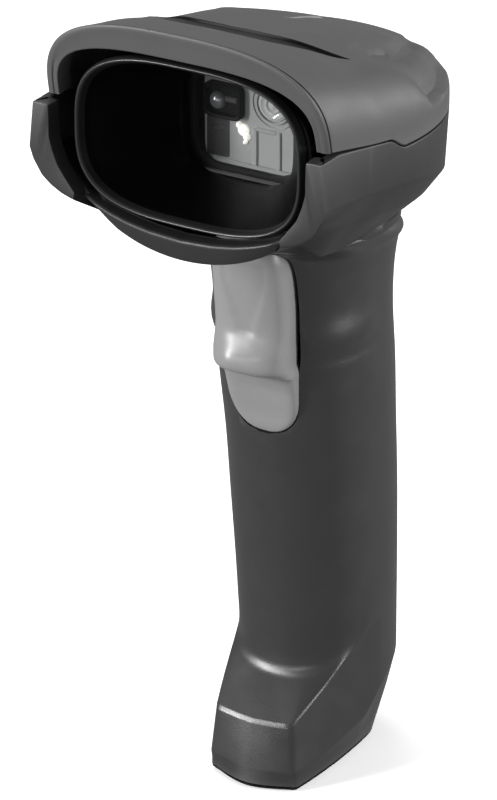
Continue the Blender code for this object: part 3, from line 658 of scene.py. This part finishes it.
def make_cover(finishes):
    """Dome and lip as one shell, open below, with the badge's recess and the light bar's slot."""
    rings = []
    for shrink, above in ((SEAM_BEVEL, 0.0), (0.0, SEAM_BEVEL)):
        outer = [p - Vector((p.x, max(0.0, p.y - WAIST_Y), 0)).normalized() * shrink
                 for p in cover_curve(1.0, 0.0, above)]
        rings.append(cover_ring(outer, cover_curve(1.0, WALL, above), 0.0, at_rim=True))
    for k in range(COVER_LEVELS + 1):
        turn = pi / 2 * k / COVER_LEVELS
        reach = max(cos(turn), 0.0) ** (2 / DOME_POWER)
        rings.append(cover_ring(cover_curve(reach, 0.0), cover_curve(reach, WALL), turn))
    shape = skin(rings)
    close_foot(shape, len(rings[0]), len(outer))
    cover = put("head_cover", shape, finishes["cover_plastic"], "body", ("top_cover",))
    cut(cover, badge_hollow(-0.75, 3.0, 48), "badge_recess")
    cut(cover, upright_slot(PIPE_SLOT_HALF, *PIPE_SLOT_Y, 150.0, 172.0), "pipe_slot")


def badge_rows(grow, count):
    """Each place across the badge with the y of its front and rear edge, closer together towards its ends."""
    for i in range(count + 1):
        x = (BADGE_HALF + grow) * sin(pi / 2 * (2 * i / count - 1))
        front, rear = (middle + bend * abs(x / BADGE_ARC) ** power
                       for middle, bend, power in (BADGE_FRONT, BADGE_REAR))
        yield x, front - grow, rear + grow


def badge_hollow(low, high, count):
    """Crescent a little larger than the badge, from below the roof's surface to above it."""
    rings = []
    for x, front, rear in badge_rows(BADGE_GAP, count):
        across = [front + (rear - front) * i / 6 for i in range(7)]
        rings.append([Vector((x, y, surface_z(x, y) + low)) for y in across]
                     + [Vector((x, y, roof_z(x, y) + high)) for y in reversed(across)])
    return block(rings)


def make_badge(finishes):
    """Blank gloss crescent, dished, with a raised rim along its rear edge."""
    rings = []
    for x, front, rear in badge_rows(0.0, 64):
        section = [(front, -0.70), (front, -0.30), (front + 0.15, -0.12),
                   (front + 0.3 * (rear - front), -0.34), (rear - 0.9, -0.40), (rear - 0.55, -0.10),
                   (rear - 0.30, 0.0), (rear - 0.08, -0.08), (rear, -0.70)]
        section = [(min(max(y, front), max(rear, front + 0.02)), z) for y, z in section]
        rings.append([Vector((x, y, surface_z(x, y) + z)) for y, z in section])
    put("badge", block(rings), finishes["badge_gloss"], "body", ("badge_insert",))


def upright_slot(half_width, y_low, y_high, z_low, z_high):
    """Upright cutter with round ends."""
    outline = []
    for centre, start in ((y_high - half_width, 0.0), (y_low + half_width, pi)):
        for i in range(9):
            angle = start + pi * i / 8
            outline.append((half_width * cos(angle), centre + half_width * sin(angle)))
    return block([[Vector((x, y, z)) for x, y in outline] for z in (z_low, z_high)])


def make_light_pipe(finishes):
    """Clear bar along the spine with a domed top."""
    rings = []
    for i in range(PIPE_STEPS + 1):
        y = PIPE_Y + PIPE_LENGTH * i / PIPE_STEPS
        end = 1.0 - (2 * i / PIPE_STEPS - 1) ** 2
        half = PIPE_HALF * min(1.0, (end * 6.0) ** 0.5 + 0.02)
        section = [(-half, -2.6), (half, -2.6), (half, -0.45), (half * 0.75, -0.22), (0, -0.15),
                   (-half * 0.75, -0.22), (-half, -0.45)]
        rings.append([Vector((x, y, surface_z(0, y) + z)) for x, z in section])
    put("light_bar", block(rings), finishes["light_pipe"], "body", ("status_light_pipe",))


# ---- collar

def front_paths():
    """Right half of the front's inner and outer edges, from the wing's top corner to the middle of the chin."""
    inner, outer = ([Vector((x, FRONT_Y, z)) for x, z in edge] for edge in (MOUTH_EDGE, WING_EDGE))
    top = resample(inner, WING_STEPS) + [inner[-1]]
    low = resample(outer, WING_STEPS) + [outer[-1]]
    for i in range(CHIN_STEPS + 1):
        x = CHIN_HALF * (1 - i / CHIN_STEPS)
        z = table(CHIN_EDGE, x)
        y = CHIN_Y + 1.1 * (x / 24.0) ** 4
        top.append(Vector((x, y + 0.5, z)))
        low.append(Vector((x, y, z - 0.45)))
    return top, low


def side_path(front_x, rear_y, height):
    """Edge of the right side from the middle of the rear to the front corner, at a height given for each y."""
    curve = []
    for i in range(121):
        angle = pi / 2 * (1 - i / 120)
        curve.append(Vector((HALF_WIDTH * cos(angle), WAIST_Y + (rear_y - WAIST_Y) * sin(angle))))
    for i in range(1, 61):
        t = i / 60
        curve.append(Vector((HALF_WIDTH + (front_x - HALF_WIDTH) * smooth(t),
                             WAIST_Y + (FRONT_Y - WAIST_Y) * t)))
    return [Vector((p.x, p.y, height(p.y))) for p in resample(curve, SIDE_STEPS)]


def wing_top_z(y):
    return min(seam_z(y) - GAP, WING_TOP_Z)


def crease_z(y):
    """Height of the crease between the collar's upright side and its facet."""
    return 145.4 - 0.10 * (y - FRONT_Y) - 0.0019 * (y - FRONT_Y) ** 2


def chin_side_z(x, y):
    """Height of the collar's lower edge along its sides and rear."""
    return 127.5 - 0.12 * (y + 36.3) + 0.004 * x * x


def chin_z(x, y):
    """Height of the collar's lower edge, which curves up to the corners at the front."""
    side, front = chin_side_z(x, y), 127.6 + 0.0145 * x * x
    return side + (front - side) * smooth((-22.0 - y) / 12.0)


def under_z(x, y):
    return chin_z(x, y) - 1.0


def collar_edges():
    """Right halves of the collar's outer rings: seam, crease, middle of the facet, chin and underside."""
    wing, fold = front_paths()
    seam, crease = side_path(32.1, REAR_Y, wing_top_z) + wing, side_path(33.0, 37.6, crease_z) + fold
    steps = (SIDE_STEPS, len(wing) - 1)
    facet_plan = half_plan(*FACET_PLAN, steps)
    facet = [Vector((p.x, p.y, (edge.z + chin_z(p.x, p.y)) / 2)) for p, edge in zip(facet_plan, crease)]
    chin_plan = half_plan(CHIN_PLAN_HALF, CHIN_FRONT_Y, 31.5, CHIN_WAIST_Y, CHIN_POWER, 2.0, -33.0, steps)
    for p, edge in zip(chin_plan[SIDE_STEPS:], crease[SIDE_STEPS:]):
        p.x = 0.86 * min(edge.x, CHIN_HALF)
        reach = (1 - (p.x / CHIN_PLAN_HALF) ** CHIN_POWER) ** (1 / CHIN_POWER)
        p.y = CHIN_WAIST_Y - (CHIN_WAIST_Y - CHIN_FRONT_Y) * reach
    chin = raised(chin_plan, chin_z)
    for p, high, low in zip(facet, crease, chin):
        p += ((high + low) / 2 - p) * smooth((CHIN_WAIST_Y - p.y) / 16.0)
    under = raised(half_plan(*UNDER_PLAN, steps), under_z)
    return seam, crease, facet, chin, under


def collar_section(i, a, b, c, d, e):
    """Closed section of the collar's wall from its outer points, with the inside of the wall worked out."""
    front = smooth((i - SIDE_STEPS + 2) / 3)
    out = Vector((b.x, max(0.0, b.y - WAIST_Y) * 0.8, 0)).normalized()
    inner = [e + Vector((0, 0, 1.6)), d.lerp(e, 0.25) + Vector((0, 0, 1.8)),
             c.lerp(Vector((0, c.y + 3.0, c.z)), 0.075) + Vector((0, 0, 0.6)),
             (b - out * WALL).lerp(Vector((b.x * 0.93, b.y + 3.4, b.z + 0.5)), front),
             (a - out * WALL).lerp(Vector((a.x * 0.99, a.y + 3.6, a.z)), front)]
    return fillet([a, b, c, d, e, *inner], COLLAR_RADII, closed=True)


def make_collar(finishes):
    """Lower half of the head, with its wings beside the mouth and its chin below."""
    columns = [collar_section(i, *points) for i, points in enumerate(zip(*collar_edges()))]
    put("collar", skin(mirrored_columns(columns), closed=True), finishes["collar_plastic"], "body",
        ("collar_housing",))


# ---- light tunnel and engine

def make_bezel(finishes):
    """Tunnel that narrows from the mouth to the window, gloss on its rim and a darker matte black inside, which
    is the bezel's black plus painted shade deep in the tunnel.
    """
    outlines = []
    for y, half_x, half_z, _ in TUNNEL_PROFILE:
        drop = 1.2 * smooth((y + 32.0) / 14.0) - 0.6 * smooth((-33.0 - y) / 1.5)
        outline = superellipse(half_x, half_z, 3.0 if y < -20 else 4.0, TUNNEL_COUNT)
        outlines.append([Vector((x, y, MOUTH_Z - drop + z)) for x, z in outline])
    radii = [row[-1] for row in TUNNEL_PROFILE]
    columns = [fillet(column, radii, 4, closed=True) for column in zip(*outlines)]
    bezel = put("tunnel_bezel", skin(columns, closed=True), finishes["gloss_plastic"], "body",
                ("nose_bezel",))
    bezel.data.materials.append(finishes["tunnel_matte"])
    # Faces behind the rim get the near-black finish: painted shade deep in the tunnel.
    for face in bezel.data.polygons:
        face.material_index = 0 if face.center.y < RIM_Y * MM else 1


def plate_block(rows, centre=(0.0, ENGINE_Z)):
    """Solid through rounded rectangles that face forward: half width, half height, power and y."""
    rings = []
    for half_x, half_z, power, y in rows:
        outline = superellipse(half_x, half_z, power, 64)
        rings.append([Vector((centre[0] + x, y, centre[1] + z)) for x, z in outline])
    return block(rings)


def tray(x0, x1, z0, z1, back, face, edge, power=8.0):
    """Upright rounded rectangle between two places in y, with a bevelled front edge."""
    half_x, half_z = (x1 - x0) / 2, (z1 - z0) / 2
    return plate_block([(half_x, half_z, power, back), (half_x, half_z, power, face + edge),
                        (half_x - edge, half_z - edge, power, face)], ((x0 + x1) / 2, (z0 + z1) / 2))


def dial(centre, section, count=48):
    """Shape turned about an axis along y, from a closed section of (y behind the plate's face, radius)."""
    x, z = centre
    rings = []
    for i in range(count):
        angle = 2 * pi * i / count
        rings.append([Vector((x + r * cos(angle), PLATE_Y + y, z + r * sin(angle))) for y, r in section])
    return skin(rings, closed=True)


def make_window(finishes):
    """Clear pane in front of the engine."""
    pane = plate_block(((14.0, 13.4, 4.0, -13.1), (14.2, 13.6, 4.0, -13.3), (14.2, 13.6, 4.0, -14.1),
                        (14.0, 13.4, 4.0, -14.3)))
    put("window", pane, finishes["window_glass"], "body", ("exit_window",))


def make_engine_plate(finishes):
    """Front plate of the scan engine with its ribs and the rings round the aimer, and below it a grey strip
    that is a painted highlight on the window frame's lower edge.
    """
    y = PLATE_Y
    parts = [plate_block(((10.9, 11.3, 10.0, y + 1.4), (10.9, 11.3, 10.0, y + 0.15), (10.75, 11.15, 10.0, y)))]
    for x0, x1, z0, z1, high, edge in PLATE_RIBS:
        parts.append(tray(x0, x1, z0, z1, y + 0.2, y - high, edge))
    for radius, high in AIMER_RINGS:
        parts.append(dial(AIMER, [(0.2, radius - 0.35), (-high, radius - 0.28), (-high, radius + 0.05),
                                  (0.2, radius + 0.15)]))
    # The plate's finish has a weak emission: painted glow.
    put("engine_plate", join(parts), finishes["light_guide"], "body", ("illumination_plate",))
    # Grey strip: painted highlight along the lower edge of the window frame.
    put("window_frame_painted_highlight", tray(-12.0, 11.0, 136.6, 137.3, -14.35, -15.0, 0.25, 14.0),
        finishes["light_guide_dark"], "body")


def make_aimer(finishes):
    """Ringed lens at the upper right of the plate."""
    lens = [(3.0, 3.3), (-0.35, 3.3), (-0.62, 2.7), (-0.35, 2.3), (-0.3, 1.9), (-0.65, 1.5), (-0.3, 1.15),
            (-0.45, 0.8), (-0.7, 0.35), (-0.72, AXIS_RADIUS), (3.0, AXIS_RADIUS)]
    # The lens finish glows weakly: painted glow.
    put("aimer_rings", dial(AIMER, lens, 64), finishes["aimer_glass"], "body", ("aimer_lens",))


def make_camera_box(finishes):
    """Black frame with a hollow face, a ball lens and a bar in it."""
    y = PLATE_Y
    rim = plate_block(((4.3, 3.6, 6.0, y + 1.0), (4.3, 3.6, 6.0, y - 1.5), (4.05, 3.35, 6.0, y - 1.7),
                       (3.6, 2.9, 6.0, y - 1.6), (3.5, 2.8, 6.0, y - 0.2)), CAMERA_BOX)
    put("camera_box", rim, finishes["black_plastic"], "body")
    ball = [(-0.2, 1.9), (-0.45, 1.88), (-0.9, 1.65), (-1.25, 1.25), (-1.42, 0.7), (-1.48, AXIS_RADIUS),
            (-0.2, AXIS_RADIUS)]
    put("camera_lens", dial(CAMERA_LENS, ball, 40), finishes["lens_glass"], "body")
    put("camera_bar", tray(-5.9, -3.0, 150.6, 151.9, y - 0.2, y - 0.9, 0.25), finishes["light_guide_dark"],
        "body")


def make_painted_plate_shade_and_glints(finishes):
    """Painted shade: a dark pane at the lower left of the plate; painted glint: small glowing domes beside it.
    """
    # Dark pane standing in for shade on the plate: painted shade.
    put("plate_painted_shade", tray(-10.3, -5.2, 138.7, 146.9, PLATE_Y + 0.2, PLATE_Y - 0.12, 0.05, 14.0),
        finishes["light_guide_dark"], "body")
    # Small glowing domes: a painted glint on the plate.
    domes = []
    for x, z, r in PAINTED_GLINT_DOMES:
        section = [(0.1, r), (-0.35, r * 0.92), (-0.7, r * 0.6), (-0.82, AXIS_RADIUS), (0.1, AXIS_RADIUS)]
        domes.append(dial((x, z), section, 20))
    put("painted_glint_domes", join(domes), finishes["led"], "body")


# ---- handle and foot

def column_plan(half_width, front, rear, waist, grow, front_power=HANDLE_POWER):
    """Right half of one ring of the handle, split at its widest place."""
    return half_plan(half_width + grow, front - grow, rear + grow, waist, front_power, HANDLE_POWER,
                     waist - 0.01, HANDLE_STEPS)


def handle_plan(middle, half_width, half_depth, grow):
    return column_plan(half_width, middle - half_depth, middle + half_depth, middle, grow)


def foot_plan(grow, heel, spread, bow, tuck):
    """Right half of the foot: the handle's round back, a flat side, a small corner and a bowed front."""
    middle, half_width, half_depth = HANDLE_FOOT
    half_width += grow - tuck
    rear = []
    for i in range(241):
        angle = pi / 2 - pi * i / 480
        rear.append(Vector((half_width * cos(angle) ** (2 / HANDLE_POWER),
                            middle + (half_depth + grow - heel) * sin(angle) ** (2 / HANDLE_POWER))))
    corner = Vector((TOE_CORNER[0] + grow + spread, TOE_CORNER[1] - grow - 0.4 * spread))
    hip, front = rear[-1], Vector((0.0, TOE_FRONT_Y - grow - 0.4 * spread))
    before, after = corner.lerp(hip, 0.05), corner.lerp(front, 0.14)
    side = [before.lerp(hip, 1 - i / 30) + Vector((4 * HIP_SWELL * (i / 30) * (1 - i / 30), 0))
            for i in range(30)]
    bend = [before.lerp(corner, t / 8).lerp(corner.lerp(after, t / 8), t / 8) for t in range(9)]
    nose = [after.lerp(front, i / 20) - Vector((0, bow * sin(pi / 2 * i / 20))) for i in range(1, 21)]
    return resample(rear, HANDLE_STEPS[0]) + resample(side + bend + nose, HANDLE_STEPS[1]) + [nose[-1]]


def slope_z(y, lift=0.0):
    """Height of the toe's sloping top, which stays level behind the hips."""
    return TOE_EDGE_Z + TOE_SLOPE * (min(y, HIP_Y) - TOE_CORNER[1]) + lift


def finger_relief(p):
    """Outward swell of the finger rest on each side of the trigger."""
    side = smooth((abs(p.x) - 8.8) / 1.6) * smooth((13.0 - p.y) / 9.0)
    return side * (0.65 * bump((p.z - 100.8) / 5.5) - 0.40 * bump((p.z - 96.6) / 2.4)
                   + 0.35 * bump((p.z - 94.3) / 2.2))


def handle_rings(inset):
    """The handle's rings from the collar to the foot, as right halves, for a skin lying inset within it."""
    rings = [raised(column_plan(*HANDLE_TOP, -inset, 3.0), lambda x, y: chin_side_z(x, y) - 1.3),
             raised(column_plan(*HANDLE_NECK, -inset), lambda x, y: 119.0 - 0.10 * (y - 8.0))]
    for z, *shape in HANDLE:
        tilt = 0.06 if z == HANDLE[0][0] else 0.0
        rings.append([Vector((p.x, p.y, z - tilt * (p.y - 8.0))) for p in handle_plan(*shape, -inset)])
    return rings + [raised(handle_plan(*HANDLE_FOOT, -inset), lambda x, y: min(slope_z(y, 5.0), 33.0))]


def foot_column(start, inset, a, b, c, d, e):
    """Rest of a handle column: the toe's slope, its arris, the crease below it and the underside."""
    outside, sink = inset == 0, 0.8 * inset
    flat = smooth((HIP_Y + 3.0 - b.y) / 5.0)
    room = max(0.0, (b - a).length - 0.25)
    widen = min(0.55 + 1.2 * smooth((b.y + 2.0) / 10.0), room * 0.7) if outside else min(0.3, room * 0.5)
    top = Vector((*b, 0)) + Vector((a.x - b.x, a.y - b.y, 0)).normalized() * widen * flat
    top.z = slope_z(top.y, -sink)
    under = CAP_THICK + GAP
    foot = [start, Vector((*a, slope_z(a.y, 0.9 - sink))), top,
            Vector((*b, slope_z(b.y, -sink) - 0.3 * flat - 0.35 * widen * flat)),
            Vector((*c, table(FOOT_CREASE, c.y))),
            Vector((*d, table(FOOT_CREASE, d.y) * 0.5 + under * 0.5)),
            Vector((*e, under - (1.0 if outside else 0.0)))]
    return fillet(foot, FOOT_RADII, 4)[1:]


def handle_skin(inset):
    """Columns of one skin of the handle's right half, from the collar to the underside of the foot."""
    columns = [curve_through(column, SPAN_STEPS) for column in zip(*handle_rings(inset))]
    feet = [foot_plan(grow - inset, *shape) for grow, *shape in FOOT_RINGS]
    for column, *points in zip(columns, handle_plan(*HANDLE_FOOT, -inset), *feet):
        if inset == 0:
            for p in column:
                p += Vector((p.x, p.y - GRIP_Y, 0)).normalized() * finger_relief(p)
        column.extend(foot_column(column[-1], inset, *points))
    return columns


def make_handle(finishes):
    """Hollow handle and foot in one shell, with the trigger's slot in its front."""
    shell = [outer + inner[::-1] for outer, inner in zip(handle_skin(0.0), handle_skin(WALL))]
    handle = put("handle", skin(mirrored_columns(shell), closed=True), finishes["handle_plastic"], "body",
                 ("handle_shell",))
    rows = [(z, SLOT_Y[0], half_width, SLOT_Y[1]) for z, _, half_width, _ in TRIGGER]
    slot = trigger_rings(rows, 6, SLOT_GAP, SLOT_POWER, SLOT_POWER)
    for p in slot[0]:
        p.z = SLOT_TOP_Z
    slot.append([Vector((p.x * 0.5, p.y, TRIGGER[-1][0] - SLOT_GAP)) for p in slot[-1]])
    cut(handle, block(slot), "trigger_slot")


def make_foot_pad(finishes):
    """Matte pad under the foot, with a sunk hole for its screw and a hole for each charging contact."""
    toe = FOOT_RINGS[-1][2:]
    rings = [[Vector((*p, z)) for p in mirrored(foot_plan(grow, heel, *toe))] for z, grow, heel in PAD_RINGS]
    pad = put("foot_pad", block(rings), finishes["base_plastic"], "body", ("base_cap",))
    for x, y, radius, high, name in PAD_HOLES:
        cut(pad, rod(lambda u, v, z: Vector((x + u, y + v, z)), radius, -1.0, high), name)


# ---- trigger

def trigger_rings(rows, steps, grow, power, low_power):
    """Rings through a table of height, front, half width and rear; the power changes over the lower part."""
    rings = []
    for z, front, half_width, rear in spline_rows(rows, steps):
        square = power + (low_power - power) * smooth((95.0 - z) / 4.0)
        outline = superellipse(half_width + grow, (rear - front) / 2, square, 72)
        rings.append([Vector((x, (front + rear) / 2 + y, z)) for x, y in outline])
    return rings


def trigger_sculpt(x, z):
    """Depth of the finger hollow, and its swell low on one side, on the trigger's front."""
    hollow = 0.35 * (1 - (x / 8.7) ** 2) * smooth((z - 99.0) / 4.0) * (1 - smooth((z - 116.0) / 5.0))
    facet_half = 1.2 + 3.4 * smooth((z - 103.0) / 14.0)
    facet = 0.3 * (1 - smooth((abs(x - 0.8) - facet_half) / 0.6))
    facet *= smooth((z - 103.0) / 1.0) * (1 - smooth((z - 119.0) / 1.5))
    swell = 0.5 * smooth(1 - hypot((x + 2.2) / 6.0, (z - 98.0) / 5.0))
    tongue = 0.3 * (1 - (x / 7.6) ** 2) * smooth((91.0 - z) / 2.0) * smooth((z - 79.5) / 3.0)
    return hollow + facet - swell + tongue


def make_trigger(finishes):
    """Lever with a sculpted finger pad and a narrower tongue, bored for its pin and hollowed for its spring."""
    rows = [(z, y - LEVER_PROUD * smooth((z - 92.6) / 3.0), half - LEVER_SLIM * smooth((z - 93.5) / 2.0), rear)
            for z, y, half, rear in LEVER]
    rings = trigger_rings(rows, 8, 0.0, 2.7, 7.0)
    for ring in rings:
        middle = sum(p.y for p in ring) / len(ring)
        for p in ring:
            if p.y < middle:
                near = min(q.y for q in ring)
                face = smooth((middle - p.y) / max(middle - near, 0.01) * 1.6 - 0.5)
                p.y += trigger_sculpt(p.x, p.z) * face
    trigger = put("trigger_lever", block(rings), finishes["trigger_plastic"], "trigger",
                  ("trigger",))
    bore = rod(lambda u, v, x: Vector((x, PIVOT_Y + u, PIVOT_Z + v)), PIN_BORE, -15.0, 15.0, 32)
    cut(trigger, bore, "pin_bore")
    seat = rod(lambda u, v, y: Vector((u, y, SPRING_Z + v)), SPRING_SEAT, -3.3, 4.0)
    cut(trigger, seat, "spring_seat")


# ---- studio

def aim(holder, place, direction):
    holder.location = place
    holder.rotation_mode = "QUATERNION"
    holder.rotation_quaternion = direction.to_track_quat("-Z", "Y")


def make_floor():
    """White floor that sweeps up into a backdrop."""
    sweep = [(FLOOR_NEAR, 0.0)]
    for i in range(SWEEP_STEPS + 1):
        angle = pi / 2 * i / SWEEP_STEPS
        sweep.append((SWEEP_Y + SWEEP_RADIUS * sin(angle), SWEEP_RADIUS - SWEEP_RADIUS * cos(angle)))
    sweep.append((SWEEP_Y + SWEEP_RADIUS, WALL_TOP))
    rows = [[Vector((x, y, z)) / MM for y, z in sweep] for x in (-FLOOR_HALF, FLOOR_HALF)]
    floor = as_object("studio_floor", skin(rows, ring=False))
    floor.data.shade_smooth()
    floor.data.materials.append(finish("studio_paper", (0.93, 0.93, 0.93), 0.85, grain=0.1, grain_scale=300.0,
                                       spread=0.01, emit=0.40))
    floor.visible_diffuse = floor.visible_glossy = False


def make_studio():
    """Floor, pale surround and soft boxes."""
    make_floor()
    world = bpy.data.worlds.new("studio")
    world.use_nodes = True
    backing = world.node_tree.nodes["Background"]
    backing.inputs["Color"].default_value = (1, 1, 1, 1)
    backing.inputs["Strength"].default_value = 0.25
    bpy.context.scene.world = world
    for name, place, size, power in SOFT_BOXES:
        lamp = bpy.data.lights.new(name, "AREA")
        lamp.shape, lamp.size, lamp.size_y = "RECTANGLE", *size
        lamp.energy = power
        aim(in_scene(name, lamp), place, Vector(LIGHT_TARGET) - Vector(place))
    bpy.context.scene.view_settings.view_transform = "Standard"


def make_camera():
    camera = bpy.data.cameras.new("camera")
    camera.lens, camera.sensor_width = 225.0, 36.0
    camera.clip_start, camera.clip_end = 0.05, 20.0
    holder = in_scene("camera", camera)
    aim(holder, (0.4585, -0.7894, 0.5137), Vector((-0.4597, 0.7789, -0.4267)))
    bpy.context.scene.camera = holder


def main():
    finishes = make_finishes()
    dress_carried(finishes)
    make_camera()
    for make in (make_cover, make_badge, make_light_pipe, make_collar, make_bezel, make_window,
                 make_engine_plate, make_aimer, make_camera_box, make_painted_plate_shade_and_glints, make_handle,
                 make_foot_pad, make_trigger):
        make(finishes)
    make_studio()


main()
